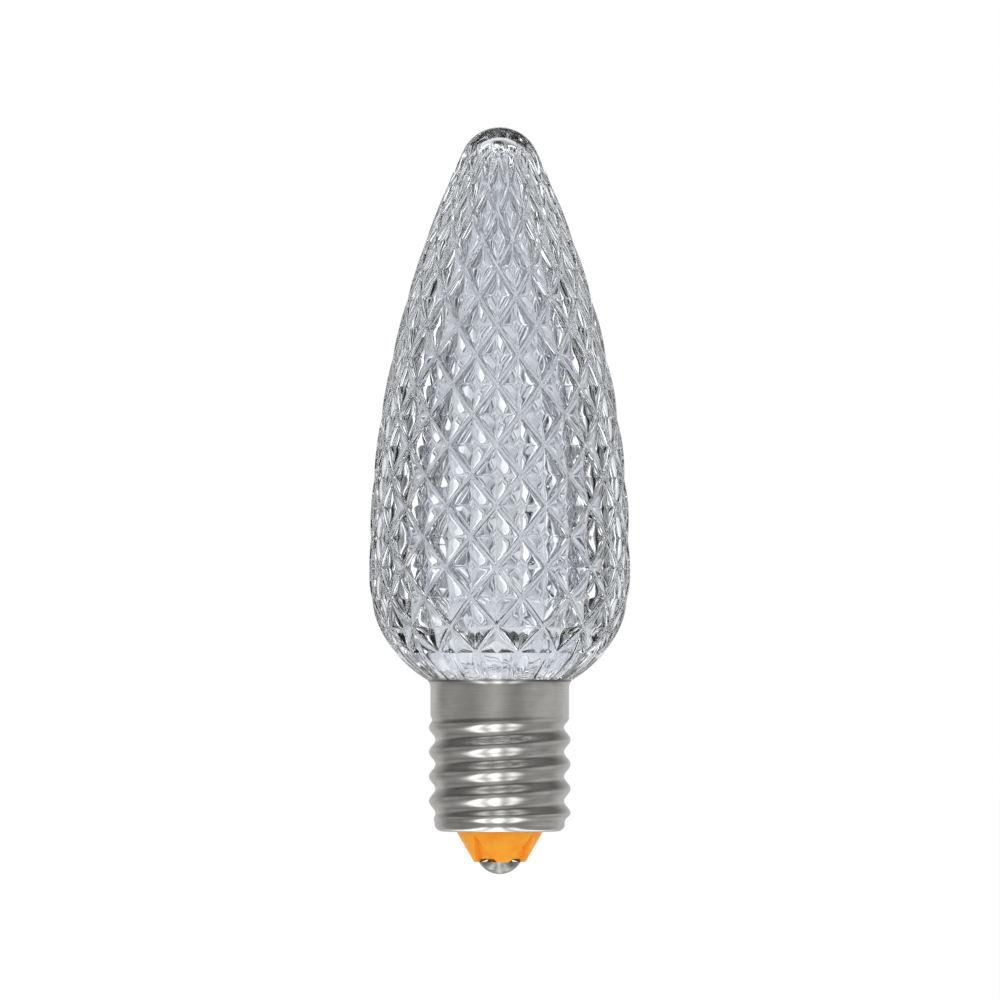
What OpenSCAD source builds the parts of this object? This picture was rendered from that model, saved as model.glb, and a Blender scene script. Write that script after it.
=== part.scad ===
// Retrofit string-light bulb: a hollow lens with a diamond lattice on a rolled screw shell.
// Upright on its axis, tip up, with the bottom of the centre contact at z = 0. Millimetres.

/* [Lens] */
// Height of the lens above the rim of the screw shell
lens_h = 63.6; // [58:0.1:70]
// Widest diameter, over the ridges
lens_d = 30; // [27:0.1:33]
// Height of the lower end of the straight waist above the rim
waist_low_h = 11.5; // [10.5:0.1:12.5]
// Height of the straight waist
waist_h = 1.7; // [0.4:0.1:4]
// Radius of the round tip
tip_r = 4.6; // [4:0.1:5.5]
// Wall between the ridges and the cavity
lens_wall = 2.4; // [1.8:0.1:3]

/* [Lattice] */
// Diamonds around the lens
diamonds = 16; // [12:1:20]
// Distance along the surface between two levels of ridge crossings
row_pitch = 3.48; // [3:0.02:4.5]
// Height of the smooth foot between the rim and the lowest level of crossings
foot_h = 3; // [2:0.1:4]
// Width of the flat on top of each ridge
ridge_w = 0.3; // [0.1:0.05:0.6]
// Slope of the four facets in each diamond, in degrees
facet_slope = 24; // [8:1:32]
// Smooth cap left on the tip, least height
cap_h = 2.2; // [1.6:0.1:3.2]
// Turn of the lattice about the axis, in degrees
lattice_turn = 9.75; // [-11:0.25:11]

/* [Screw shell] */
// Height of the shell, from its bottom lip to the rim under the lens
shell_h = 17.4; // [15:0.1:20]
// Sheet thickness
sheet = 0.3; // [0.2:0.05:0.4]
// Diameter over the thread crests
thread_d = 16.3; // [16:0.05:16.6]
// Depth of the rolled thread
thread_depth = 0.75; // [0.4:0.05:0.9]
// Pitch of the thread, one start, right-handed
thread_pitch = 2.82; // [2.6:0.01:3.2]
// Height over which the thread runs out at each end
thread_runout = 1.2; // [0.8:0.1:1.8]
// Height of a thread crest above the lip on the +X side
thread_start_h = 4.9; // [3.5:0.1:6.3]
// Step inwards from the thread crests to the plain collar
collar_inset = 0.18; // [0.1:0.02:0.4]
// Height of the plain collar
collar_h = 3.1; // [2.4:0.1:4]
// Step outwards from the collar to the edge of the flared rim
flare_out = 0.38; // [0.2:0.02:0.6]
// Height of the flare
flare_h = 0.9; // [0.6:0.1:1.4]
// Outer radius of the rolled lip at the bottom
lip_r = 0.9; // [0.6:0.05:1.2]
// Width of the flat ring between the lip's rounding and its opening
lip_flat_w = 1.3; // [0.9:0.1:1.7]

/* [Insulator and centre contact] */
// Height of the insulator cone below the lip
cone_h = 3.5; // [2.8:0.1:4.5]
// Slope of the cone's side from the axis, in degrees
cone_a = 29.5; // [26:0.5:32]
// Thickness of the flange that sits on the lip, inside the shell
flange_t = 1.4; // [1:0.1:2.5]
// Angle between a recess centre line and the +X axis, in degrees
recess_turn = 9; // [0:1:89]
// Width of each wedge recess at the small end
recess_w = 3.2; // [1.5:0.1:3.6]
// Depth of each recess, square to the cone
recess_depth = 0.7; // [0.3:0.1:1]
// Ledge of the cone left round the contact dome
contact_ledge = 0.6; // [0.3:0.1:1]
// Height of the contact dome
contact_h = 1.4; // [1:0.1:1.8]
// Diameter of the rivet shank
shank_d = 1.5; // [1.2:0.1:1.8]
// Diameter of the rivet's upset head
head_d = 2.8; // [2.2:0.1:3.4]
// Thickness of the upset head
head_t = 0.4; // [0.3:0.1:0.8]

/* [Circuit board and LEDs] */
// Length of the lens neck inside the collar
neck_l = 3.5; // [3:0.1:4.5]
// Thickness of the board
board_t = 0.8; // [0.6:0.1:1.2]
// LED package across, along and in height
led_w = 2.8; // [2:0.1:3]
led_l = 3.5; // [2.5:0.1:3.6]
led_h = 0.7; // [0.5:0.1:1]
// Gap between the middle LED and the four round it
led_space = 0.6; // [0.4:0.05:0.7]
// Rectifier body across, along and in height
rectifier_w = 3.8; // [3:0.1:4]
rectifier_l = 4.7; // [4:0.1:5]
rectifier_h = 2.4; // [1.5:0.1:3]
// Resistor body across, along and in height
resistor_w = 1.6; // [1.2:0.1:2.5]
resistor_l = 3.2; // [2:0.1:4]
resistor_h = 0.6; // [0.4:0.1:1]
// Diameter of the two leads
lead_d = 0.5; // [0.4:0.05:0.6]
// Diameter and height of the solder bead on the rivet head
bead_d = 1.9; // [1.4:0.1:2.2]
bead_h = 0.8; // [0.5:0.1:1.2]

/* [Hidden] */

// Running fits
neck_gap = 0.17;
board_gap = 0.1;
shank_gap = 0.05;
cone_gap = 0.15;
flange_gap = 0.2;
led_gap = 0.16;
lead_gap = 0.02;
groove_gap = 0.15;
// How far solids that are joined into one piece reach into each other, and how much thinner the
// faceted thread is than the turned sheet that it joins
joint = 0.2;
joint_room = 0.1;
// Steps of a round stretch in a turned outline, and sides of a turned piece
arc_steps = 8;
$fn = 96;

// Radii of the shell: thread crests and valleys, collar, edge of the rim, lip and its opening
thread_r = thread_d / 2;
thread_low_r = thread_r - thread_depth + joint_room / 2;
collar_r = thread_r - collar_inset;
rim_r = collar_r + flare_out;
lip_centre_r = thread_r - thread_depth + joint_room - lip_r;
lip_hole_r = lip_centre_r - lip_flat_w;

// Radii of what the shell holds
board_r = thread_r - thread_depth - sheet - board_gap;
neck_r = collar_r - sheet - neck_gap;
led_ring_r = led_l / 2 + led_space + led_w / 2;
bore_r = norm([led_ring_r + led_w / 2, led_l / 2]) + led_gap;
cone_top_r = lip_hole_r - cone_gap;
cone_end_r = cone_top_r - (cone_h + sheet) * tan(cone_a);
contact_r = cone_end_r - contact_ledge;

// Heights on the axis
lip_z = contact_h + cone_h;
seat_z = lip_z + shell_h;
board_top_z = seat_z - neck_l;
board_z = board_top_z - board_t;
insulator_top_z = lip_z + sheet + flange_t;
head_top_z = insulator_top_z + head_t;

// Lens outline: shoulder arc, straight waist, long flank arc and round tip, each tangent to the next.
// The shoulder arc ends just outside the edge of the shell's rim.
lens_r = lens_d / 2;
rim_overhang = 0.03;
shoulder_w = lens_r - rim_r - rim_overhang;
shoulder_r = (shoulder_w * shoulder_w + waist_low_h * waist_low_h) / (2 * shoulder_w);
waist_low_z = seat_z + waist_low_h;
waist_top_z = waist_low_z + waist_h;
tip_centre_z = seat_z + lens_h - tip_r;
flank_rise = tip_centre_z - waist_top_z;
flank_r = (lens_r * lens_r + flank_rise * flank_rise - tip_r * tip_r) / (2 * (lens_r - tip_r));
tip_slope = flank_rise / (flank_r - tip_r);

// Radius of the outline at height z, moved inwards by inset
function outline_r(z, inset = 0) =
    z < waist_low_z ?
        lens_r - shoulder_r + sqrt(max(0, pow(shoulder_r - inset, 2) - pow(waist_low_z - z, 2))) :
    z < waist_top_z ? lens_r - inset :
    z < tip_centre_z + (tip_r - inset) * tip_slope ?
        lens_r - flank_r + sqrt(pow(flank_r - inset, 2) - pow(z - waist_top_z, 2)) :
    sqrt(max(0, pow(tip_r - inset, 2) - pow(z - tip_centre_z, 2)));

// Distance along the outline from the lower end of the waist to height z, and back
function arc_l(r, rise) = r * asin(rise / r) * PI / 180;
function arc_rise(r, l) = r * sin(l / r * 180 / PI);
function outline_l(z) =
    z < waist_low_z ? -arc_l(shoulder_r, waist_low_z - z) :
    z < waist_top_z ? z - waist_low_z : waist_h + arc_l(flank_r, z - waist_top_z);
function outline_z(l) =
    l < 0 ? waist_low_z - arc_rise(shoulder_r, -l) :
    l < waist_h ? waist_low_z + l : waist_top_z + arc_rise(flank_r, l - waist_h);

// Lattice levels: level 0 is the edge of the smooth foot, the last is the edge of the smooth cap
foot_z = seat_z + foot_h;
levels = floor((outline_l(seat_z + lens_h - cap_h) - outline_l(foot_z)) / row_pitch);
columns = 2 * diamonds;
function level_z(level) = outline_z(outline_l(foot_z) + level * row_pitch);
function column_a(column) = lattice_turn - 90 + column * 180 / diamonds;

// Distance from the middle of a diamond to its sides, on the level where it is centred
function diamond_inset(level) =
    let (half_w = outline_r(level_z(level)) * sin(180 / diamonds))
    half_w * row_pitch / norm([half_w, row_pitch]);
function flat_share(level) = ridge_w / 2 / diamond_inset(level);
function recess_d(level) = (diamond_inset(level) - ridge_w / 2) * tan(facet_slope);

// Point of the lens surface, sunk below the outline by depth
function surface_point(column, z, depth = 0) =
    let (r = outline_r(z) - depth)
    [r * cos(column_a(column)), r * sin(column_a(column)), z];

// A diamond is centred where column + level is odd, and ridges cross where it is even
function is_middle(column, level) = (column + level) % 2 == 1;
function grid_index(column, level) = level * columns + (column + columns) % columns;
function corner_index(column, level, corner) =
    columns * (levels + 1) + 4 * (level * diamonds + floor(((column + columns) % columns) / 2)) + corner;

// Corners of the recess inside a diamond: 0 above, 1 left, 2 below, 3 right
function corner_point(column, level, corner) =
    let (share = 1 - flat_share(level), z = level_z(level))
    corner == 0 ? surface_point(column, z + share * (level_z(min(level + 1, levels)) - z)) :
    corner == 1 ? surface_point(column - share, z) :
    corner == 2 ? surface_point(column, z - share * (z - level_z(max(level - 1, 0)))) :
    surface_point(column + share, z);

// Faces of one quarter of a diamond: two on the ridge flat and one facet
function quarter_faces(column, level, node_a, node_b, corner_a, corner_b) =
    let (a = corner_index(column, level, corner_a), b = corner_index(column, level, corner_b))
    [[node_a, a, node_b], [node_b, a, b], [a, grid_index(column, level), b]];

module lens_body() {
    grid = [for (level = [0:levels], column = [0:columns - 1])
        surface_point(column, level_z(level), is_middle(column, level) ? recess_d(level) : 0)];
    corners = [for (level = [0:levels], pair = [0:diamonds - 1], corner = [0:3])
        corner_point(2 * pair + (level % 2 == 0 ? 1 : 0), level, corner)];
    foot = len(grid) + len(corners);
    cap_edge_z = level_z(levels);
    cap_steps = 4;
    edge_a = acos((cap_edge_z - tip_centre_z) / tip_r);
    cap = [for (step = [1:cap_steps - 1], column = [0:columns - 1])
        let (a = edge_a * (1 - step / cap_steps))
        surface_point(column, tip_centre_z + tip_r * cos(a))];
    cap_start = foot + 1;
    apex = cap_start + len(cap);
    function cap_index(step, column) = cap_start + (step - 1) * columns + (column + columns) % columns;
    middles = [for (level = [0:levels], column = [0:columns - 1])
        if (is_middle(column, level)) [column, level]];
    upper = [for (m = middles) if (m[1] < levels)
        let (c = m[0], l = m[1], top = grid_index(c, l + 1), left = grid_index(c - 1, l),
             right = grid_index(c + 1, l))
        each concat(quarter_faces(c, l, left, top, 1, 0), quarter_faces(c, l, top, right, 0, 3))];
    lower = [for (m = middles) if (m[1] > 0)
        let (c = m[0], l = m[1], below = grid_index(c, l - 1), left = grid_index(c - 1, l),
             right = grid_index(c + 1, l))
        each concat(quarter_faces(c, l, right, below, 3, 2), quarter_faces(c, l, below, left, 2, 1))];
    // The underside closes on a point inside the foot, and the cavity later takes that point away
    underside = [for (m = middles) if (m[1] == 0)
        let (c = m[0], middle = grid_index(c, 0),
             left = corner_index(c, 0, 1), right = corner_index(c, 0, 3))
        each [[grid_index(c - 1, 0), foot, left], [left, foot, middle],
              [middle, foot, right], [right, foot, grid_index(c + 1, 0)]]];
    cap_edge = [for (m = middles) if (m[1] == levels)
        let (c = m[0], middle = grid_index(c, levels), left = corner_index(c, levels, 1),
             right = corner_index(c, levels, 3), node_a = grid_index(c - 1, levels),
             node_b = grid_index(c + 1, levels), up_a = cap_index(1, c - 1), up = cap_index(1, c),
             up_b = cap_index(1, c + 1))
        each [[node_a, left, up_a], [left, up, up_a], [left, middle, up],
              [middle, right, up], [right, up_b, up], [right, node_b, up_b]]];
    cap_sides = [for (step = [1:cap_steps - 2], column = [0:columns - 1])
        each [[cap_index(step, column), cap_index(step, column + 1), cap_index(step + 1, column + 1)],
              [cap_index(step, column), cap_index(step + 1, column + 1), cap_index(step + 1, column)]]];
    cap_top = [for (column = [0:columns - 1])
        [cap_index(cap_steps - 1, column), cap_index(cap_steps - 1, column + 1), apex]];
    faces = concat(upper, lower, underside, cap_edge, cap_sides, cap_top);
    polyhedron(
        points = concat(grid, corners, [[0, 0, seat_z]], cap, [[0, 0, tip_centre_z + tip_r]]),
        faces = [for (f = faces) [f[2], f[1], f[0]]]);
}

// Smooth foot between the rim and the lattice, a little proud of the ridges
module lens_foot() {
    proud = 0.03;
    rotate_extrude() polygon(concat(
        [[0, seat_z]],
        [for (step = [0:arc_steps])
            let (z = seat_z + foot_h * step / arc_steps)
            [outline_r(z) + proud, z]],
        [[0, foot_z]]));
}

// Clear lens with its neck, hollow from the neck to the tip
module faceted_lens() {
    cavity_top_z = tip_centre_z + tip_r - lens_wall;
    cavity_steps = 24;
    cavity_side = [for (step = [0:cavity_steps - 1])
        let (z = seat_z + (cavity_top_z - seat_z) * sin(90 * step / cavity_steps))
        [z < waist_low_z ? max(bore_r, outline_r(z, lens_wall)) : outline_r(z, lens_wall), z]];
    groove_r = collar_r - sheet - lead_d - 2 * groove_gap;
    groove_low_z = board_top_z - joint;
    color([0.85, 0.88, 0.92, 0.5])
    difference() {
        union() {
            lens_body();
            lens_foot();
            translate([0, 0, board_top_z]) cylinder(r = neck_r, h = neck_l + joint);
        }
        rotate_extrude() polygon(concat(
            [[0, board_top_z - joint], [bore_r, board_top_z - joint]], cavity_side, [[0, cavity_top_z]]));
        // Groove in which the side lead is clamped against the collar
        rotate([0, 0, side_lead_a])
            translate([groove_r, -lead_d / 2 - groove_gap, groove_low_z])
                cube([neck_r, lead_d + 2 * groove_gap, groove_top_z - groove_low_z]);
    }
}

// Rolled thread: the sheet follows one cosine wave along each turn and runs out at both ends
thread_low_z = lip_z + lip_r;
thread_top_z = seat_z - flare_h - collar_h;
thread_top_r = collar_r - joint_room / 2;
function ease(x) = let (t = min(max(x, 0), 1)) t * t * (3 - 2 * t);
function sheet_r(z, a) =
    let (fade = ease((z - thread_low_z) / thread_runout) * ease((thread_top_z - z) / thread_runout),
         end_r = z < (thread_low_z + thread_top_z) / 2 ? thread_low_r : thread_top_r,
         wave = cos(360 * (z - lip_z - thread_start_h) / thread_pitch - a))
    end_r + fade * (thread_r - thread_depth / 2 * (1 - wave) - end_r);

// Closed skin over a grid of points that joins up with itself both ways
module closed_grid(points, rows, columns) {
    function at(row, column) = (row % rows) * columns + column % columns;
    polyhedron(points = points, faces = [for (row = [0:rows - 1], column = [0:columns - 1])
        each [[at(row, column), at(row + 1, column + 1), at(row, column + 1)],
              [at(row, column), at(row + 1, column), at(row + 1, column + 1)]]]);
}

module rolled_thread() {
    sides = 40;
    steps = 6 * ceil((thread_top_z - thread_low_z) / thread_pitch);
    low_z = thread_low_z - joint;
    rise = thread_top_z + joint - low_z;
    outside = [for (step = [0:steps], side = [0:sides - 1])
        let (z = low_z + rise * step / steps, a = 360 * side / sides, r = sheet_r(z, a))
        [r * cos(a), r * sin(a), z]];
    inside = [for (step = [steps:-1:0], side = [0:sides - 1])
        let (z = low_z + rise * step / steps, a = 360 * side / sides, r = sheet_r(z, a) - sheet + joint_room)
        [r * cos(a), r * sin(a), z]];
    closed_grid(concat(outside, inside), 2 * (steps + 1), sides);
}

// Nickelled shell: plain collar with a flared rim, rolled thread and inward lip
module screw_shell() {
    flare_a = 2 * atan(flare_out / flare_h);
    flare_r = flare_h / sin(flare_a);
    inner_a = asin(flare_h / (flare_r + sheet));
    flare_z = seat_z - flare_h;
    function flare_arc(r, a) = [collar_r + flare_r - r * cos(a), flare_z + r * sin(a)];
    function lip_arc(r, a) = [lip_centre_r + r * cos(a), lip_z + lip_r - r * sin(a)];
    color([0.66, 0.65, 0.62]) union() {
        rotate_extrude() polygon(concat(
            [[collar_r - sheet, thread_top_z], [collar_r, thread_top_z]],
            [for (step = [0:arc_steps]) flare_arc(flare_r, flare_a * step / arc_steps)],
            [for (step = [arc_steps:-1:0]) flare_arc(flare_r + sheet, inner_a * step / arc_steps)]));
        rolled_thread();
        rotate_extrude() polygon(concat(
            [for (step = [0:arc_steps]) lip_arc(lip_r, 90 * step / arc_steps)],
            [[lip_hole_r, lip_z], [lip_hole_r, lip_z + sheet]],
            [for (step = [arc_steps:-1:0]) lip_arc(lip_r - sheet, 90 * step / arc_steps)]));
    }
}

// Moulded cone that holds the contact, with a flange inside the lip and four wedge recesses
module base_insulator() {
    hole_r = shank_d / 2 + shank_gap;
    flange_r = lip_centre_r - flange_gap;
    slant_l = cone_h / cos(cone_a);
    recess_reach = 0.86;
    color([1, 0.62, 0.2])
    difference() {
        rotate_extrude() polygon([
            [hole_r, contact_h], [cone_end_r, contact_h],
            [cone_top_r, lip_z + sheet], [flange_r, lip_z + sheet],
            [flange_r, insulator_top_z], [hole_r, insulator_top_z]]);
        for (turn = [0:90:270]) rotate([0, 0, recess_turn + turn])
            translate([cone_end_r, 0, contact_h]) rotate([0, cone_a, 0])
                translate([-recess_depth, 0, 0]) rotate([90, 0, 90])
                    linear_extrude(height = cone_top_r)
                        polygon([[-recess_w / 2, -slant_l], [-recess_w / 2, 0], [0, slant_l * recess_reach],
                                 [recess_w / 2, 0], [recess_w / 2, -slant_l]]);
    }
}

// Rivet: domed contact, shank through the insulator and upset head on the flange
module centre_contact() {
    dome_r = (contact_h * contact_h + contact_r * contact_r) / (2 * contact_h);
    color([0.6, 0.6, 0.58]) rotate_extrude() union() {
        intersection() {
            translate([0, dome_r]) circle(r = dome_r);
            square([contact_r, contact_h]);
        }
        translate([0, contact_h / 2]) square([shank_d / 2, head_top_z - contact_h / 2]);
        translate([0, insulator_top_z]) square([head_d / 2, head_t]);
    }
}

// Round board that closes the neck of the lens
module circuit_board() {
    color([0.93, 0.94, 0.92]) translate([0, 0, board_z]) cylinder(r = board_r, h = board_t);
}

// Surface-mount LED package with a round well for its clear fill
module led(number) {
    well_r = led_w / 2 - 0.22;
    well_d = 0.23;
    place = number == 1 ? [0, 0] : [led_ring_r, 90 * (number - 2)];
    color([0.95, 0.94, 0.88]) rotate([0, 0, place[1]]) translate([place[0], 0, board_top_z])
        difference() {
            translate([-led_w / 2, -led_l / 2, 0]) cube([led_w, led_l, led_h]);
            translate([0, 0, led_h - well_d]) cylinder(r = well_r, h = led_h);
        }
}

// Middle of the space between the centre lead and the edge of the board, for a body of a given length
function between_lead_and_edge(l) = (lead_d / 2 + sqrt(board_r * board_r - l * l / 4)) / 2;

// Four-legged rectifier under the board
module bridge_rectifier() {
    leg_w = 0.6;
    leg_reach = 0.5;
    leg_t = 0.25;
    body_drop = 0.2;
    span = rectifier_l + 2 * leg_reach;
    color([0.12, 0.12, 0.13]) translate([between_lead_and_edge(span), 0, board_z]) union() {
        translate([-rectifier_w / 2, -rectifier_l / 2, -body_drop - rectifier_h])
            cube([rectifier_w, rectifier_l, rectifier_h]);
        for (side = [-1, 1])
            translate([side * rectifier_w / 4 - leg_w / 2, -span / 2, -leg_t]) cube([leg_w, span, leg_t]);
    }
}

// Two series resistors under the board, each with a raised metal end at either side
module dropping_resistor(side) {
    end_w = 0.5;
    end_t = 0.05;
    low_x = between_lead_and_edge(resistor_l) - resistor_w / 2;
    color([0.2, 0.2, 0.22]) rotate([0, 0, side * 135])
        translate([low_x, -resistor_l / 2, board_z - resistor_h]) union() {
            translate([0, end_w, end_t])
                cube([resistor_w, resistor_l - 2 * end_w, resistor_h - 2 * end_t]);
            for (y = [0, resistor_l - end_w])
                translate([0, y, 0]) cube([resistor_w, end_w, resistor_h]);
        }
}

// Side lead: hooked round the edge of the board and clamped between neck and collar
side_lead_a = 265;
groove_top_z = seat_z - 1;
module side_lead() {
    lead_r = lead_d / 2;
    bend_r = 0.5;
    pad_l = 1.1;
    end_gap = 0.25;
    outer_x = collar_r - sheet - lead_r - lead_gap;
    run_x = board_r - pad_l;
    run_z = board_z - lead_r;
    color([0.75, 0.5, 0.35]) rotate([0, 0, side_lead_a]) union() {
        translate([run_x, 0, run_z]) rotate([0, 90, 0]) cylinder(r = lead_r, h = outer_x - bend_r - run_x);
        translate([outer_x - bend_r, 0, run_z + bend_r]) rotate([90, 0, 0]) rotate([0, 0, -90])
            rotate_extrude(angle = 90) translate([bend_r, 0]) circle(r = lead_r, $fn = 32);
        translate([outer_x, 0, run_z + bend_r])
            cylinder(r = lead_r, h = groove_top_z - end_gap - run_z - bend_r);
    }
}

// Centre lead: straight from the board to the rivet head
module centre_lead() {
    color([0.75, 0.5, 0.35]) translate([0, 0, head_top_z]) cylinder(d = lead_d, h = board_z - head_top_z);
}

// Solder bead round the foot of the centre lead
module contact_solder() {
    bead_r = bead_d / 2;
    hole_r = lead_d / 2 + lead_gap;
    color([0.7, 0.7, 0.72]) rotate_extrude() polygon(concat([[hole_r, head_top_z]],
        [for (step = [0:arc_steps])
            let (a = 90 * step / arc_steps)
            [hole_r + (bead_r - hole_r) * cos(a), head_top_z + bead_h * sin(a)]]));
}

faceted_lens();
screw_shell();
base_insulator();
centre_contact();
circuit_board();
led(1);  // led_1
led(2);  // led_2
led(3);  // led_3
led(4);  // led_4
led(5);  // led_5
bridge_rectifier();
dropping_resistor(1);  // dropping_resistor_1
dropping_resistor(-1);  // dropping_resistor_2
side_lead();
centre_lead();
contact_solder();
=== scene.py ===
import bpy
import bmesh
import math
import numpy as np
from mathutils import Matrix, Vector


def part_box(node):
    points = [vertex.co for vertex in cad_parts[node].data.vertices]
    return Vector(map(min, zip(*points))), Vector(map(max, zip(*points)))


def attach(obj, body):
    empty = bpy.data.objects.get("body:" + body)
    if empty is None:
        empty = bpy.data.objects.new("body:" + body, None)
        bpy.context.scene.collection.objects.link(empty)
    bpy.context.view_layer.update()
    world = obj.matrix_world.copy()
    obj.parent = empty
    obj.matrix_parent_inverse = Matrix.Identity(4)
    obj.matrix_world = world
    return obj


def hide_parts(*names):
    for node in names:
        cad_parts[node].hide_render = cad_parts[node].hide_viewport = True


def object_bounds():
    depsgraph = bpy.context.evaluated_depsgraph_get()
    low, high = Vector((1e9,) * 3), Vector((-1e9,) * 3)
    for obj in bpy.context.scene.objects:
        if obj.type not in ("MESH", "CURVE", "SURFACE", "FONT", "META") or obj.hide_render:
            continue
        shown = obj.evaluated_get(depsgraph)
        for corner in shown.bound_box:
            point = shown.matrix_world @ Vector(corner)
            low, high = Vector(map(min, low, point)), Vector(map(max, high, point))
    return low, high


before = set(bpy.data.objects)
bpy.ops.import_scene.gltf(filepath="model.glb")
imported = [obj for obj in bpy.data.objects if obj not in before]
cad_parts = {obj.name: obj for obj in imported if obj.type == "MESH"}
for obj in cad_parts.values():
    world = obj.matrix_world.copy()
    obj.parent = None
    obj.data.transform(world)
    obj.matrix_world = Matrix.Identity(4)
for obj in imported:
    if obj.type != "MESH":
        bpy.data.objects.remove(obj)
cadLow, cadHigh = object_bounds()
mm = 0.001


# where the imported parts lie: everything below is worked out from these boxes

shellLow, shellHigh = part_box("screw_shell")
lensLow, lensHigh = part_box("faceted_lens")
insulatorLow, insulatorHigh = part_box("base_insulator")
contactLow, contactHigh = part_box("centre_contact")
boardLow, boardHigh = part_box("circuit_board")
seatZ = shellHigh.z
lipZ = shellLow.z
print("frame loaded, bulb height", round(cadHigh.z / mm, 2), "mm")


def ease(x):  # smooth step: 0 below 0, 1 above 1
    t = np.clip(x, 0, 1)
    return t * t * (3 - 2 * t)


def arc(centreR, centreZ, radius, startDeg, endDeg, steps):
    # points of a circle arc in the (r, z) half plane, as an array of rows (r, z)
    a = np.radians(np.linspace(startDeg, endDeg, steps + 1))
    return np.stack([centreR + radius * np.cos(a), centreZ + radius * np.sin(a)], 1)


def line(start, end, steps):
    # evenly spaced points from start to end, as rows (r, z)
    return np.linspace(start, end, steps + 1)


def path(*runs):
    # runs of points put end to end, with doubled joints dropped
    points = np.vstack(runs)
    keep = np.r_[True, np.linalg.norm(np.diff(points, axis=0), axis=1) > 1e-7]
    return points[keep]


def gridFaces(rows, columns, closeRows=False, closeColumns=True):
    # quads between neighbouring points of a rows x columns grid, which may close either way
    r = np.arange(rows if closeRows else rows - 1)[:, None]
    c = np.arange(columns if closeColumns else columns - 1)[None, :]
    r2, c2 = (r + 1) % rows, (c + 1) % columns
    return np.stack([r * columns + c, r * columns + c2, r2 * columns + c2, r2 * columns + c], -1).reshape(-1, 4)


def meshFromArrays(name, points, faces):
    mesh = bpy.data.meshes.new(name)
    mesh.from_pydata(points.tolist(), [], faces.tolist())
    return mesh


def addPiece(name, mesh, slotName, *nodes, sharpDeg=30.0):
    # hangs a finished mesh on the body, in place of the CAD nodes it stands for
    mesh.polygons.foreach_set("use_smooth", np.ones(len(mesh.polygons), bool))
    mesh.set_sharp_from_angle(angle=math.radians(sharpDeg))
    piece = bpy.data.objects.new(name, mesh)
    bpy.context.scene.collection.objects.link(piece)
    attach(piece, "root")
    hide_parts(*nodes)
    print(name, "has", len(mesh.polygons), "faces")
    return piece


def mergeAndTurnOut(bm, distance=1e-7):
    # joins doubled points, drops faces without area and turns all faces outwards
    bmesh.ops.remove_doubles(bm, verts=bm.verts, dist=distance)
    bmesh.ops.dissolve_degenerate(bm, dist=distance, edges=bm.edges)
    bmesh.ops.recalc_face_normals(bm, faces=bm.faces)


# clear lens

lensLook = {
    "diamondsAround": 16,
    "rowPitch": 3.48 * mm,       # along the surface, between two levels of ridge crossings
    "footHeight": 3.0 * mm,      # smooth foot between the rim and the lattice
    "turnDeg": 9.75,
    "facetSlopeDeg": 24.0,
    "footRunout": 2.6 * mm,      # height over which the facets run out above the foot
    "ridgeRunout": 0.4 * mm,     # and the ridges
    "flutes": 36,                # upright waves low inside the bore
    "fluteDepth": 0.13 * mm,
    "fluteHeight": 6.0 * mm,
    "footFluteDepth": 0.07 * mm,   # the same waves outside, on the smooth foot
    "ridgeRound": 0.1 * mm,      # radius of the rounding along each ridge
    "creaseRound": 0.06 * mm,    # how widely the creases between facets are rounded
    "ridgeHalf": 0.12 * mm,      # half of the flat on top of each ridge
    "ridgeStep": 0.15 * mm,      # how far each ridge stands above its facets
    "ridgeRun": 0.17 * mm,       # distance over which it drops to them
    "tipRadius": 4.6 * mm,
    "shoulderRadius": 13.3 * mm,
    "waistLow": 11.5 * mm,       # straight waist above the rim
    "waistHeight": 1.7 * mm,
    "wall": 2.4 * mm,
    "capHeight": 2.44 * mm,      # smooth cap on the tip
    "neckClearance": 0.17 * mm,
    "boreRadius": 5.6 * mm,
    "sheet": 0.3 * mm,
    "collarRadius": 7.97 * mm,
    "sideLeadDeg": 265.0,
    "grooveHalf": 0.4 * mm,
    "grooveDepth": 0.65 * mm,
}


def lensOutline(look):
    # radius at height z of four tangent stretches: shoulder arc, straight waist, flank arc, round tip
    widest = (lensHigh.x - lensLow.x) / 2
    waistLowZ = seatZ + look["waistLow"]
    waistTopZ = waistLowZ + look["waistHeight"]
    tip, shoulder = look["tipRadius"], look["shoulderRadius"]
    tipZ = lensHigh.z - tip
    rise = tipZ - waistTopZ
    flank = (widest ** 2 + rise ** 2 - tip ** 2) / (2 * (widest - tip))
    tipShare = rise / (flank - tip)

    def radius(z, inset=0.0):
        z = np.asarray(z, float)
        low = widest - shoulder + np.sqrt(np.clip((shoulder - inset) ** 2 - np.clip(waistLowZ - z, 0, None) ** 2, 0, None))
        side = widest - flank + np.sqrt(np.clip((flank - inset) ** 2 - np.clip(z - waistTopZ, 0, None) ** 2, 0, None))
        top = np.sqrt(np.clip((tip - inset) ** 2 - (z - tipZ) ** 2, 0, None))
        body = np.where(z < waistLowZ, low, np.where(z < waistTopZ, widest - inset, side))
        return np.where(z > tipZ + (tip - inset) * tipShare, top, body)

    def length(z):  # distance along the outline from the lower end of the waist up to z: arcs are radius * angle
        if z < waistLowZ:
            return -shoulder * math.asin((waistLowZ - z) / shoulder)
        return min(z - waistLowZ, look["waistHeight"]) + flank * math.asin(max(z - waistTopZ, 0) / flank)

    def height(l):  # and back, for an array of distances
        low = waistLowZ - shoulder * np.sin(np.clip(-l / shoulder, 0, math.pi / 2))
        high = waistTopZ + flank * np.sin(np.clip(l - look["waistHeight"], 0, None) / flank)
        return np.where(l < 0, low, np.where(l < look["waistHeight"], waistLowZ + l, high))

    return radius, length, height, tipZ


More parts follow.
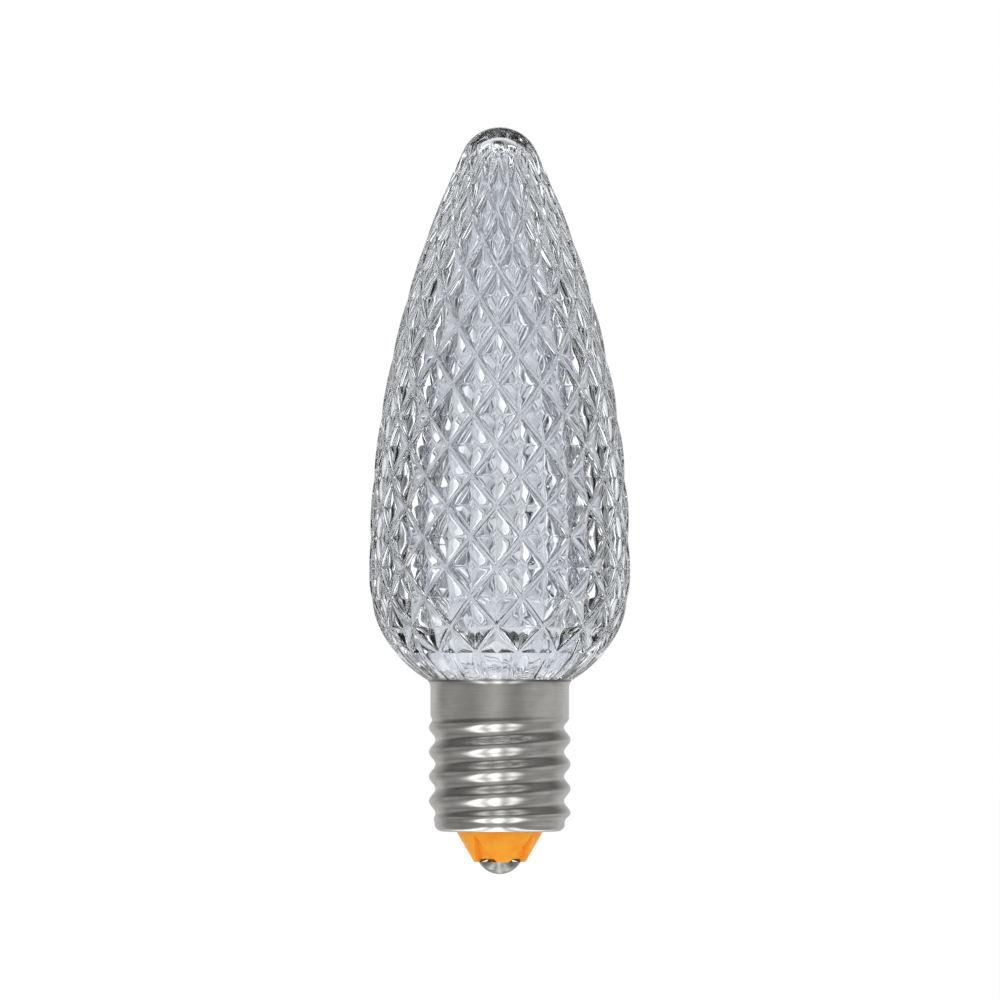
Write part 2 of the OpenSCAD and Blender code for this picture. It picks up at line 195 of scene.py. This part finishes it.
def latticeMesh(look, radius, length, heightAt, capZ):
    # each diamond is a unit square of (a, b) with its ridges on the four sides: the column moves by a - b and
    # the level by a + b - 1 from the middle. Levels lie at equal distances along the outline, from the foot's
    # edge up. Rings of points run from the sides to the middle. The surface
    # sinks below the outline by slope * (hypot(distance, ridge rounding) - ridge rounding), where distance is
    # a smooth least of the distances to the four ridges, -k log(sum of exp(-d / k)), which rounds the creases
    around = 2 * look["diamondsAround"]
    footLength = length(seatZ + look["footHeight"])
    levels = int(np.ceil((length(capZ) - footLength) / look["rowPitch"])) + 1
    half = np.array([0, 0.035, 0.09, 0.18, 0.32, 0.5])
    side = np.r_[half, (1 - half)[-2:0:-1]]
    zero, one = 0 * side, 0 * side + 1
    rim = np.stack([np.r_[side, one, 1 - side, zero], np.r_[zero, side, one, 1 - side]], 1) - 0.5
    rings = 1 - np.array([0, 0.05, 0.08, 0.11, 0.15, 0.3, 0.62])
    a, b = (np.concatenate([(rings[:, None, None] * rim).reshape(-1, 2), [[0, 0]]]) + 0.5).T
    column, level = np.meshgrid(np.arange(around), np.arange(levels + 1), indexing="ij")
    middle = (column + level) % 2 == 1
    column, level = column[middle][:, None], level[middle][:, None]
    turn = math.radians(look["turnDeg"] - 90) + (column + a - b) * math.pi / look["diamondsAround"]
    middleLength = footLength + level * look["rowPitch"]
    height = heightAt(middleLength + (a + b - 1) * look["rowPitch"])
    halfWidth = radius(np.clip(heightAt(middleLength), seatZ, capZ)) * math.sin(math.pi / look["diamondsAround"])
    across = 2 * halfWidth * look["rowPitch"] / np.hypot(halfWidth, look["rowPitch"])
    k = look["creaseRound"]
    toRidge = -k * np.log(sum(np.exp(-across * d / k) for d in (a, 1 - a, b, 1 - b)))
    toRidge = np.clip(toRidge - look["ridgeHalf"], 0, None)
    depth = math.tan(math.radians(look["facetSlopeDeg"])) * (np.hypot(toRidge, look["ridgeRound"]) - look["ridgeRound"])
    aboveFoot = height - seatZ - look["footHeight"]
    step = look["ridgeStep"] * ease(toRidge / look["ridgeRun"])
    depth = depth * ease(aboveFoot / look["footRunout"]) + step * ease(aboveFoot / look["ridgeRunout"])
    depth = depth * ease((capZ - height) / (0.8 * mm))
    r = radius(height) - depth
    points = np.stack([r * np.cos(turn), r * np.sin(turn), height], -1).reshape(-1, 3)
    quads = gridFaces(len(rings), len(rim))
    last = (len(rings) - 1) * len(rim) + np.arange(len(rim))
    fan = np.stack([last, np.roll(last, -1), np.full(len(rim), len(rings) * len(rim))], 1)
    triangles = np.concatenate([quads[:, [0, 1, 2]], quads[:, [0, 2, 3]], fan])
    starts = np.arange(len(column)) * len(a)
    faces = (starts[:, None, None] + triangles[None]).reshape(-1, 3)
    return meshFromArrays("lattice", points, faces)


def cutRing(bm, z, keepAbove):
    # cuts the skin level at z and returns the edge's points, in order round the axis
    cut = bmesh.ops.bisect_plane(bm, geom=bm.verts[:] + bm.edges[:] + bm.faces[:], dist=1e-7,
                                 plane_co=(0, 0, z), plane_no=(0, 0, 1),
                                 clear_inner=keepAbove, clear_outer=not keepAbove)
    ring = np.array([v.co[:] for v in cut["geom_cut"] if isinstance(v, bmesh.types.BMVert)])
    return ring[np.argsort(np.arctan2(ring[:, 1], ring[:, 0]))]


def addSkin(bm, name, ring, profile, closeEnd):
    # turns a profile of (r, z) rows about the axis, starting on the ring's own points
    a = np.arctan2(ring[:, 1], ring[:, 0])
    r, z = profile[..., 0], profile[..., 1]
    rows = np.stack([r * np.cos(a), r * np.sin(a), z + 0 * a], -1)
    rows = np.concatenate([ring[None], rows])
    faces = gridFaces(len(rows), len(a))
    points = rows.reshape(-1, 3)
    if closeEnd:  # the last row is one point, so its quads become triangles when doubles merge
        points = np.concatenate([points, [[0, 0, closeEnd]]])
        last = (len(rows) - 1) * len(a) + np.arange(len(a))
        fan = np.stack([last, np.roll(last, -1), np.full(len(a), len(points) - 1)], 1)
        mesh = bpy.data.meshes.new(name)
        mesh.from_pydata(points.tolist(), [], faces.tolist() + fan.tolist())
    else:
        mesh = meshFromArrays(name, points, faces)
    bm.from_mesh(mesh)
    bpy.data.meshes.remove(mesh)


def makeLens(look):
    radius, length, heightAt, tipZ = lensOutline(look)
    capZ = lensHigh.z - look["capHeight"]
    footZ = seatZ + look["footHeight"]
    bm = bmesh.new()
    bm.from_mesh(latticeMesh(look, radius, length, heightAt, capZ))
    bmesh.ops.remove_doubles(bm, verts=bm.verts, dist=1e-6)
    topRing = cutRing(bm, capZ, False)
    footRing = cutRing(bm, footZ, True)

    capAngle = math.degrees(math.asin((capZ - tipZ) / look["tipRadius"]))
    cap = arc(0, tipZ, look["tipRadius"], capAngle, 89, 14)[1:]
    addSkin(bm, "cap", topRing, cap[:, None, :], tipZ + look["tipRadius"])

    a = np.arctan2(footRing[:, 1], footRing[:, 0])
    neck = look["collarRadius"] - look["sheet"] - look["neckClearance"]
    offGroove = np.abs(np.angle(np.exp(1j * (a - math.radians(look["sideLeadDeg"]))))) * neck
    neckRow = neck - look["grooveDepth"] * (1 - ease((offGroove - look["grooveHalf"]) / (0.05 * mm)))
    neckRows = np.stack([np.tile(neckRow, (3, 1)),
                         np.array([seatZ, (seatZ + boardHigh.z) / 2, boardHigh.z])[:, None] + 0 * a], -1)
    cavityTop = lensHigh.z - look["wall"]
    cavityZ = seatZ + (cavityTop - seatZ) * np.sin(np.linspace(0, math.pi / 2, 28))[:-1]
    cavityR = radius(cavityZ, look["wall"])
    cavityR = np.where(cavityZ < seatZ + look["waistLow"], np.maximum(cavityR, look["boreRadius"]), cavityR)
    inside = np.concatenate([[[look["boreRadius"], boardHigh.z]], np.stack([cavityR, cavityZ], 1)])
    insideRows = inside[:, None, :] + 0 * neckRows[:1]
    fade = 1 - ease((insideRows[..., 1] - seatZ) / look["fluteHeight"])
    insideRows[..., 0] += look["fluteDepth"] * fade * np.cos(look["flutes"] * a)
    # the smooth foot follows the outline down to the rim
    footRowZ = np.linspace(footZ, seatZ, 11)[1:]
    footRows = np.stack([radius(footRowZ), footRowZ], -1)[:, None, :] + 0 * neckRows[:1]
    swell = np.sin(np.linspace(0, math.pi, 11)[1:])[:, None]   # none at the lattice and at the rim
    footRows[..., 0] -= look["footFluteDepth"] / 2 * swell * (1 - np.cos(look["flutes"] * a))
    addSkin(bm, "neck", footRing, np.concatenate([footRows, neckRows, insideRows]), cavityTop)
    mergeAndTurnOut(bm, 1e-6)
    mesh = bpy.data.meshes.new("facetedLens")
    bm.to_mesh(mesh)
    bm.free()
    return addPiece("facetedLens", mesh, "clear_lens", "faceted_lens", sharpDeg=50)


lensPiece = makeLens(lensLook)


# rolled screw shell

shellLook = {
    "sheet": 0.3 * mm,
    "collarRadius": 7.97 * mm,
    "collarHeight": 3.1 * mm,
    "flareRadius": 8.35 * mm,
    "flareHeight": 0.9 * mm,
    "threadRadius": 8.15 * mm,
    "threadDepth": 0.75 * mm,
    "threadPitch": 2.82 * mm,
    "threadStart": 4.9 * mm,     # height of a crest above the lip on the +X side
    "runout": 1.2 * mm,
    "lipRadius": 0.9 * mm,
    "lipHole": 5.3 * mm,
}


def makeShell(look):
    # the sheet is a grid of height by turn; along the thread its radius follows one cosine per turn
    columns = 192
    t = look["sheet"]
    flareOut = look["flareRadius"] - look["collarRadius"]
    flareDeg = math.degrees(2 * math.atan(flareOut / look["flareHeight"]))
    flareR = look["flareHeight"] / math.sin(math.radians(flareDeg))
    flareZ = seatZ - look["flareHeight"]
    topZ = flareZ - look["collarHeight"]
    lowZ = lipZ + look["lipRadius"]
    lipR = look["threadRadius"] - look["threadDepth"] + 0.1 * mm
    valleyR = lipR - 0.05 * mm
    collarEndR = look["collarRadius"] - 0.02 * mm
    outside = path(
        line((look["collarRadius"] + flareOut - t + 0.03 * mm, seatZ), (look["collarRadius"] + flareOut, seatZ), 2),
        arc(look["collarRadius"] + flareR, flareZ, flareR, 180 - flareDeg, 180, 10),
        line((look["collarRadius"], flareZ), (look["collarRadius"], topZ), 4),
        line((collarEndR, topZ), (valleyR, lowZ), 84),
        arc(lipR - look["lipRadius"], lowZ, look["lipRadius"], 0, -90, 12),
        line((lipR - look["lipRadius"], lipZ), (look["lipHole"], lipZ), 3))
    inside = path(
        line((look["lipHole"], lipZ + t), (lipR - look["lipRadius"], lipZ + t), 3),
        arc(lipR - look["lipRadius"], lowZ, look["lipRadius"] - t, -90, 0, 8),
        line((valleyR - t, lowZ), (collarEndR - t, topZ), 60),
        line((look["collarRadius"] - t, topZ), (look["collarRadius"] - t, flareZ), 3),
        arc(look["collarRadius"] + flareR, flareZ, flareR + t, 180, 180 - flareDeg, 8))
    loop = np.concatenate([outside, inside])
    isInside = np.arange(len(loop)) >= len(outside)
    a = np.linspace(0, 2 * math.pi, columns, endpoint=False)[None, :]
    r, z = loop[:, :1], loop[:, 1:]
    fade = ease((z - lowZ) / look["runout"]) * ease((topZ - z) / look["runout"])
    wave = np.cos(2 * math.pi * (z - lipZ - look["threadStart"]) / look["threadPitch"] - a)
    rolled = look["threadRadius"] - look["threadDepth"] / 2 * (1 - wave) - t * isInside[:, None]
    r = r + fade * (rolled - r)
    points = np.stack([r * np.cos(a), r * np.sin(a), z + 0 * a], -1).reshape(-1, 3)
    mesh = meshFromArrays("screwShell", points, gridFaces(len(loop), columns, closeRows=True))
    bm = bmesh.new()
    bm.from_mesh(mesh)
    mergeAndTurnOut(bm)
    bm.to_mesh(mesh)
    bm.free()
    return addPiece("screwShell", mesh, "nickel_shell", "screw_shell", sharpDeg=35)


shellPiece = makeShell(shellLook)


# amber insulator and centre contact

insulatorLook = {
    "coneEnd": 3.0 * mm,
    "coneTop": 5.15 * mm,
    "holeRadius": 0.8 * mm,
    "edgeRound": 0.12 * mm,
    "recessTurnDeg": 52.0,
    "recessWidth": 3.2 * mm,
    "recessDepth": 0.7 * mm,
    "recessReach": 0.86,         # share of the slant that a recess takes up
}


def makeInsulator(look):
    # a turned profile; each recess sinks the cone where the point lies inside a wedge that narrows upwards
    columns = 360
    endZ = insulatorLow.z
    flangeZ = lipZ + shellLook["sheet"]
    flangeR = (insulatorHigh.x - insulatorLow.x) / 2
    e = look["edgeRound"]
    slant = np.array([look["coneTop"] - look["coneEnd"], flangeZ - endZ])
    slantLength = np.hypot(*slant)
    loop = path(
        line((look["holeRadius"], endZ), (look["coneEnd"] - e, endZ), 6),
        arc(look["coneEnd"] - e, endZ + e, e, -90, -30, 4),
        line((look["coneEnd"] + 0.02 * mm, endZ + e), (look["coneTop"], flangeZ), 44),
        line((look["coneTop"], flangeZ), (flangeR, flangeZ), 2),
        line((flangeR, flangeZ), (flangeR, insulatorHigh.z), 3),
        line((flangeR, insulatorHigh.z), (look["holeRadius"], insulatorHigh.z), 4),
        line((look["holeRadius"], insulatorHigh.z), (look["holeRadius"], endZ + 0.2 * mm), 3))
    a = np.linspace(0, 2 * math.pi, columns, endpoint=False)[None, :]
    r, z = loop[:, :1] + 0 * a, loop[:, 1:] + 0 * a
    along = (z - endZ) / slant[1]
    nearest = (a - math.radians(look["recessTurnDeg"]) + math.pi / 4) % (math.pi / 2) - math.pi / 4
    side = np.abs(nearest) * r
    wedge = look["recessWidth"] / 2 * (1 - along / look["recessReach"])
    onCone = (r > look["coneEnd"] - 2 * look["recessDepth"]) & (z < flangeZ - 1e-6)
    depth = look["recessDepth"] * ease((wedge - side) / (0.22 * mm)) * onCone
    r = r - depth * slant[1] / slantLength
    z = z + depth * slant[0] / slantLength
    points = np.stack([r * np.cos(a), r * np.sin(a), z], -1).reshape(-1, 3)
    mesh = meshFromArrays("baseInsulator", points, gridFaces(len(loop), columns, closeRows=True))
    bm = bmesh.new()
    bm.from_mesh(mesh)
    mergeAndTurnOut(bm)
    bm.to_mesh(mesh)
    bm.free()
    return addPiece("baseInsulator", mesh, "amber_insulator", "base_insulator", sharpDeg=32)


insulatorPiece = makeInsulator(insulatorLook)

contactLook = {
    "shankRadius": 0.75 * mm,
    "headRadius": 1.4 * mm,
    "headHeight": 0.4 * mm,
    "domeHeight": 1.4 * mm,
}


def makeContact(look):
    # a turned rivet: dome, shank and upset head
    columns = 144
    domeR = (contactHigh.x - contactLow.x) / 2
    h = look["domeHeight"]
    ball = (h * h + domeR * domeR) / (2 * h)
    edgeDeg = math.degrees(math.acos(domeR / ball))
    topZ = contactHigh.z
    headZ = topZ - look["headHeight"]
    loop = path(
        arc(0, ball, ball, -89.5, -edgeDeg, 26),
        line((domeR, h), (look["shankRadius"], h), 3),
        line((look["shankRadius"], h), (look["shankRadius"], headZ), 4),
        line((look["shankRadius"], headZ), (look["headRadius"], headZ), 2),
        arc(look["headRadius"] - 0.2 * mm, topZ - 0.2 * mm, 0.2 * mm, 0, 90, 4),
        line((look["headRadius"] - 0.2 * mm, topZ), (0.02 * mm, topZ), 2))
    a = np.linspace(0, 2 * math.pi, columns, endpoint=False)[None, :]
    r, z = loop[:, :1], loop[:, 1:]
    points = np.stack([r * np.cos(a), r * np.sin(a), z + 0 * a], -1).reshape(-1, 3)
    points = np.concatenate([points, [[0, 0, 0], [0, 0, topZ]]])
    rows = len(loop)
    low, top = np.arange(columns), (rows - 1) * columns + np.arange(columns)
    ends = [np.stack([np.roll(low, -1), low, np.full(columns, len(points) - 2)], 1),
            np.stack([top, np.roll(top, -1), np.full(columns, len(points) - 1)], 1)]
    mesh = bpy.data.meshes.new("centreContact")
    mesh.from_pydata(points.tolist(), [], gridFaces(rows, columns).tolist() + np.concatenate(ends).tolist())
    bm = bmesh.new()
    bm.from_mesh(mesh)
    mergeAndTurnOut(bm)
    bm.to_mesh(mesh)
    bm.free()
    return addPiece("centreContact", mesh, "contact_metal", "centre_contact", sharpDeg=35)


contactPiece = makeContact(contactLook)
print("pieces made")


# materials

class Signal:  # an output socket; arithmetic on it adds Math nodes
    def __init__(self, tree, socket=None):
        self.tree, self.socket = tree, socket

    def node(self, kind, settings=None, inputs=None, output=0):
        made = self.tree.nodes.new(kind)
        for key, value in (settings or {}).items():
            if key == "stops":
                ramp = made.color_ramp.elements
                while len(ramp) < len(value):
                    ramp.new(0.5)
                for stop, (place, colour) in zip(ramp, value):
                    stop.position, stop.color = place, colour
            else:
                setattr(made, key, value)
        for key, value in (inputs or {}).items():
            if isinstance(value, Signal):
                self.tree.links.new(value.socket, made.inputs[key])
            else:
                made.inputs[key].default_value = value
        return Signal(self.tree, made.outputs[output])

    def maths(self, operation, *others):
        return self.node("ShaderNodeMath", {"operation": operation}, dict(enumerate((self,) + others)))

    def __add__(self, other): return self if isinstance(other, int) and other == 0 else self.maths("ADD", other)
    def __mul__(self, other): return self.maths("MULTIPLY", other)
    def __sub__(self, other): return self.maths("SUBTRACT", other)
    def __rsub__(self, other): return self.node("ShaderNodeMath", {"operation": "SUBTRACT"}, {0: other, 1: self})
    def __truediv__(self, other): return self.maths("DIVIDE", other)
    def __pow__(self, other): return self.maths("POWER", other)
    __radd__, __rmul__ = __add__, __mul__

    def parts(self):  # the three numbers of a vector
        split = self.node("ShaderNodeSeparateXYZ", None, {0: self})
        return [Signal(self.tree, out) for out in split.socket.node.outputs]

    def ramp(self, stops):
        return self.node("ShaderNodeValToRGB", {"stops": stops}, {0: self})

    def steps(self, low, high):  # smooth step from low to high
        return self.node("ShaderNodeMapRange", {"interpolation_type": "SMOOTHSTEP"}, {0: self, 1: low, 2: high})

    def blend(self, colourA, colourB):  # mixes two colours by this value
        return self.node("ShaderNodeMix", {"data_type": "RGBA"}, {0: self, 6: colourA, 7: colourB}, output=2)


def startMaterial(name, values):
    # a new material with its Principled shader's plain values set
    material = bpy.data.materials.new(name)
    material.use_nodes = True
    shader = material.node_tree.nodes["Principled BSDF"]
    for key, value in values.items():
        shader.inputs[key].default_value = value
    start = Signal(material.node_tree)
    place = start.node("ShaderNodeTexCoord", output=3)
    return material, shader, start, place


def feed(shader, **signals):
    for key, signal in signals.items():
        name = {"colour": "Base Color", "roughness": "Roughness", "metallic": "Metallic", "normal": "Normal"}[key]
        signal.tree.links.new(signal.socket, shader.inputs[name])


def noise(place, scale, detail=3.0, rough=0.55, stretch=None):
    if stretch:
        place = place.node("ShaderNodeMapping", None, {0: place, 3: stretch})
    return place.node("ShaderNodeTexNoise", None, {"Vector": place, "Scale": scale, "Detail": detail, "Roughness": rough})


def bump(height, strength, distance):
    return height.node("ShaderNodeBump", None, {"Strength": strength, "Distance": distance, "Height": height})


clearLook = {
    "tint": (0.86, 0.883, 0.915, 1),
    "shade": (0.815, 0.838, 0.87, 1),
    "index": 1.58,
    "roughLow": 0.0,
    "roughHigh": 0.03,
}


def clearPolycarbonate(look):
    material, shader, start, place = startMaterial("clearPolycarbonate", {
        "Transmission Weight": 1.0, "IOR": look["index"]})
    cloud = noise(place, 260)
    grain = noise(place, 2400, 2)
    feed(shader, colour=cloud.steps(0.35, 0.7).blend(look["shade"], look["tint"]),
         roughness=cloud * (look["roughHigh"] - look["roughLow"]) + look["roughLow"],
         normal=bump(grain, 0.05, 0.02 * mm))
    return material


nickelLook = {
    "bright": (0.74, 0.72, 0.69, 1),
    "dull": (0.60, 0.585, 0.56, 1),
    "roughLow": 0.14,
    "roughHigh": 0.26,
    "rimShadowWidth": 0.3 * mm,         # painted shadow along the top edge of the rim, where it meets the lens
    "rimShadowColour": (0.20, 0.195, 0.19, 1),
}


def nickelPlate(look):
    material, shader, start, place = startMaterial("nickelPlate", {"Metallic": 1.0})
    stains = noise(place, 420, 4)
    drawn = noise(place, 900, 3, stretch=(0.35, 0.35, 6.0))
    plated = (stains * 0.6 + drawn * 0.4).steps(0.3, 0.65).blend(look["dull"], look["bright"])
    # painted shadow: the colour darkens to a dark grey in a thin band at the top edge of the rim, just under the lens
    rim = place.parts()[2].steps(seatZ - look["rimShadowWidth"], seatZ - look["rimShadowWidth"] / 2)
    feed(shader, colour=rim.blend(plated, look["rimShadowColour"]),
         roughness=drawn * (look["roughHigh"] - look["roughLow"]) + look["roughLow"],
         normal=bump(drawn * 0.5 + noise(place, 2600, 2) * 0.5, 0.12, 0.02 * mm))
    return material


amberLook = {
    "light": (1.0, 0.42, 0.03, 1),
    "deep": (1.0, 0.32, 0.015, 1),
    "roughness": 0.3,
}


def amberPlastic(look):
    material, shader, start, place = startMaterial("amberPlastic", {
        "IOR": 1.5, "Specular IOR Level": 0.2, "Subsurface Weight": 0.35, "Subsurface Scale": 1.0 * mm,
        "Subsurface Radius": (1.0, 0.5, 0.15)})
    cloud = noise(place, 500, 3)
    feed(shader, colour=cloud.steps(0.3, 0.7).blend(look["deep"], look["light"]),
         roughness=cloud * 0.15 + look["roughness"],
         normal=bump(noise(place, 3000, 2), 0.08, 0.02 * mm))
    return material


def speckled(name, dark, light, roughness, scale=1500, metallic=0.0, bumpMm=0.02):
    # small parts: a fine mottle of two shades with a grain to match
    material, shader, start, place = startMaterial(name, {"Metallic": metallic})
    grain = noise(place, scale, 4)
    feed(shader, colour=grain.steps(0.35, 0.65).blend(dark, light),
         roughness=grain * 0.15 + (roughness - 0.075),
         normal=bump(grain, 0.15, bumpMm * mm))
    return material


def boardFinish():
    # white mask with tinned pads round the axis
    material, shader, start, place = startMaterial("boardFinish", {})
    x, y, z = place.parts()
    away = (x * x + y * y) ** 0.5
    pads = away.steps(5.3 * mm, 5.4 * mm) * (1 - away.steps(6.3 * mm, 6.4 * mm))
    grain = noise(place, 1800, 3)
    feed(shader, colour=(pads * 0.8).blend(grain.blend((0.80, 0.81, 0.79, 1), (0.88, 0.89, 0.87, 1)), (0.6, 0.6, 0.6, 1)),
         roughness=grain * 0.2 + 0.35, metallic=pads * 0.6, normal=bump(grain, 0.1, 0.02 * mm))
    return material


def ledFinish():
    # white package with a pale clear fill in the well
    material, shader, start, place = startMaterial("ledFinish", {"Coat Weight": 0.4})
    grain = noise(place, 1600, 3)
    feed(shader, colour=grain.steps(0.3, 0.7).blend((0.78, 0.77, 0.70, 1), (0.86, 0.86, 0.82, 1)),
         roughness=grain * 0.15 + 0.25, normal=bump(grain, 0.08, 0.02 * mm))
    return material


finishes = {
    "circuit_board": boardFinish(),
    "bridge_rectifier": speckled("mouldedBlack", (0.02, 0.02, 0.022, 1), (0.045, 0.045, 0.05, 1), 0.5),
    "dropping_resistor_1": speckled("glazedBlack", (0.02, 0.02, 0.03, 1), (0.06, 0.06, 0.07, 1), 0.3),
    "side_lead": speckled("tinnedWire", (0.50, 0.44, 0.38, 1), (0.66, 0.62, 0.58, 1), 0.3, metallic=1.0),
    "contact_solder": speckled("solder", (0.50, 0.50, 0.52, 1), (0.66, 0.66, 0.68, 1), 0.25, metallic=1.0),
}
finishes["dropping_resistor_2"] = finishes["dropping_resistor_1"]
finishes["centre_lead"] = finishes["side_lead"]
ledMaterial = ledFinish()
for name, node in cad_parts.items():
    material = ledMaterial if name.startswith("led_") else finishes.get(name)
    if material:
        node.data.materials.clear()
        node.data.materials.append(material)
for piece, material in (
        (lensPiece, clearPolycarbonate(clearLook)), (shellPiece, nickelPlate(nickelLook)),
        (insulatorPiece, amberPlastic(amberLook)),
        (contactPiece, speckled("contactMetal", (0.24, 0.24, 0.23, 1), (0.42, 0.42, 0.40, 1), 0.28, 900, 1.0))):
    piece.data.materials.append(material)
print("materials set")


# studio: pale floor, soft lamps and a white surround

studioLook = {
    "floorDrop": 26 * mm,
    "floorSize": 6.0,
    "paperGlow": 0.5,            # share of the floor's white that shadows don't darken
    "panelWaves": [(7, 0.4, 1.0), (17, 2.1, 0.8)],   # rings of panels: how many, turn and weight
    "panelRows": (14.0, 1.0, 0.6),   # the same up and down
    "panelStops": [(0.0, 0.0), (0.3, 0.02), (0.4, 0.3), (0.6, 0.42), (0.7, 1.5), (1.0, 2.2)],
    "whiteBehind": (0.86, 0.975),   # where glass shows the white backdrop: y of the direction, from and to
    "heightStops": [(0.0, 1.5), (0.12, 1.3), (0.35, 0.9), (0.5, 1.0), (0.65, 0.9), (0.9, 1.25), (1.0, 1.2)],
    "frontDark": 0.3,            # what upright metal reflects in front: two greys in soft upright bands
    "frontPale": 0.5,
    "frontRate": 5.2,
    "frontPhase": 0.9,
    "steepStops": [(0.0, 1.3), (0.2, 0.8), (0.4, 0.95), (0.55, 1.0), (0.7, 0.6), (0.8, 0.3), (0.9, 0.5), (1.0, 0.9)],
    "streakStops": [(0.0, 4.6), (0.08, 3.6), (0.2, 0.6), (0.3, 0.0), (0.85, 0.0), (0.93, 1.5), (1.0, 2.0)],
    "streakRate": 18.0,          # upright light strips, seen by the rolled thread from below and above
    "streakPhase": 0.72,
    "streakReach": (0.2, 0.32),  # where they end to either side, squared
    "backLight": 0.62,
    "plainLight": 1.0,
}


def makeFloor(look):
    mesh = bpy.data.meshes.new("paleFloor")
    s = look["floorSize"] / 2
    mesh.from_pydata([(-s, -s, 0), (s, -s, 0), (s, s, 0), (-s, s, 0)], [], [(0, 1, 2, 3)])
    mesh.transform(Matrix.Translation((0, 0, cadLow.z - look["floorDrop"])))
    floor = bpy.data.objects.new("paleFloor", mesh)
    bpy.context.scene.collection.objects.link(floor)
    material, shader, start, place = startMaterial("palePaper", {"Base Color": (1, 1, 1, 1), "Roughness": 1.0, "Specular IOR Level": 0.0})
    output = material.node_tree.nodes["Material Output"]
    glow = start.node("ShaderNodeEmission", None, {"Color": (1, 1, 1, 1), "Strength": 1.0})
    seen = start.node("ShaderNodeLightPath", output=0)
    paper = Signal(material.node_tree, shader.outputs[0])
    shown = start.node("ShaderNodeMixShader", None, {0: seen * look["paperGlow"], 1: paper, 2: glow})
    glossy, glass = (start.node("ShaderNodeLightPath", output=number) for number in (3, 6))
    mixed = start.node("ShaderNodeMixShader", None, {
        0: glossy.maths("MAXIMUM", glass), 1: shown, 2: start.node("ShaderNodeBsdfTransparent")})
    material.node_tree.links.new(mixed.socket, output.inputs[0])
    mesh.materials.append(material)


def greys(stops):
    return [(place, (v, v, v, 1)) for place, v in stops]


def makeSurround(look):
    # by direction: light and dark upright panels over a grey wall for what gloss and glass show, plain light
    # for matt surfaces and white for the camera
    world = bpy.data.worlds.new("surround")
    bpy.context.scene.world = world
    world.use_nodes = True
    world.node_tree.nodes.clear()
    start = Signal(world.node_tree)
    x, y, z = start.node("ShaderNodeTexCoord").parts()
    turn = y.maths("ARCTAN2", x)
    rings = [(turn * float(count) + phase).maths("SINE") * weight for count, phase, weight in look["panelWaves"]]
    rate, phase, weight = look["panelRows"]
    wave = sum(rings) + (z * rate + phase).maths("SINE") * weight
    reach = 2 * (weight + sum(weight for count, phase, weight in look["panelWaves"]))
    panels = (wave / reach + 0.5).ramp(greys(look["panelStops"]))
    rise = (z * 0.5 + 0.5).ramp(greys(look["heightStops"]))
    panels = y.steps(*look["whiteBehind"]).blend(panels, (1, 1, 1, 1))
    through = start.node("ShaderNodeBackground", None, {0: panels, 1: rise})
    # what metal reflects: grey in front, the pale backdrop behind, and strips of light far below and above
    bands = (x * look["frontRate"] + look["frontPhase"]).maths("COSINE") * 0.5 + 0.5
    front = bands.blend((look["frontDark"],) * 3 + (1,), (look["frontPale"],) * 3 + (1,))
    ahead = y.steps(0.3, 0.8).blend(front, (look["backLight"],) * 3 + (1,))
    strips = (x * look["streakRate"] + look["streakPhase"]).maths("COSINE") * 0.5 + 0.5
    strips = strips * (1 - (x * x).steps(*look["streakReach"]))
    upright = z * 0.5 + 0.5
    strength = upright.ramp(greys(look["steepStops"])) + strips * upright.ramp(greys(look["streakStops"]))
    mirrored = start.node("ShaderNodeBackground", None, {0: ahead, 1: strength})
    plain = start.node("ShaderNodeBackground", None, {0: (1, 1, 1, 1), 1: look["plainLight"]})
    white = start.node("ShaderNodeBackground", None, {0: (1, 1, 1, 1), 1: 1.0})
    seen = start.node("ShaderNodeLightPath", output=0)
    glossy = start.node("ShaderNodeLightPath", output=3)
    glass = start.node("ShaderNodeLightPath", output=6)
    dull = start.node("ShaderNodeMixShader", None, {0: glossy, 1: plain, 2: mirrored})
    shown = start.node("ShaderNodeMixShader", None, {0: glass, 1: dull, 2: through})
    mixed = start.node("ShaderNodeMixShader", None, {0: seen, 1: shown, 2: white})
    output = world.node_tree.nodes.new("ShaderNodeOutputWorld")
    world.node_tree.links.new(mixed.socket, output.inputs[0])


makeFloor(studioLook)
makeSurround(studioLook)

cameraLook = {
    "distance": 0.9,
    "elevationDeg": -1.5,
    "frameHeight": 115.0 * mm,   # what the frame takes in at the bulb
    "aimX": 0.03 * mm,
    "aimZ": 42.98 * mm,
}


def makeCamera(look):
    camera = bpy.data.objects.new("camera", bpy.data.cameras.new("camera"))
    bpy.context.scene.collection.objects.link(camera)
    lift = math.radians(look["elevationDeg"])
    aim = Vector((look["aimX"], 0, look["aimZ"]))
    camera.location = aim + Vector((0, -math.cos(lift), math.sin(lift))) * look["distance"]
    camera.rotation_euler = (math.pi / 2 - lift, 0, 0)
    camera.data.sensor_width = 36
    camera.data.lens = 36 * look["distance"] / look["frameHeight"]
    camera.data.clip_start = 0.01
    bpy.context.scene.camera = camera


makeCamera(cameraLook)
bpy.context.scene.view_settings.view_transform = "Standard"

print("stage ready")
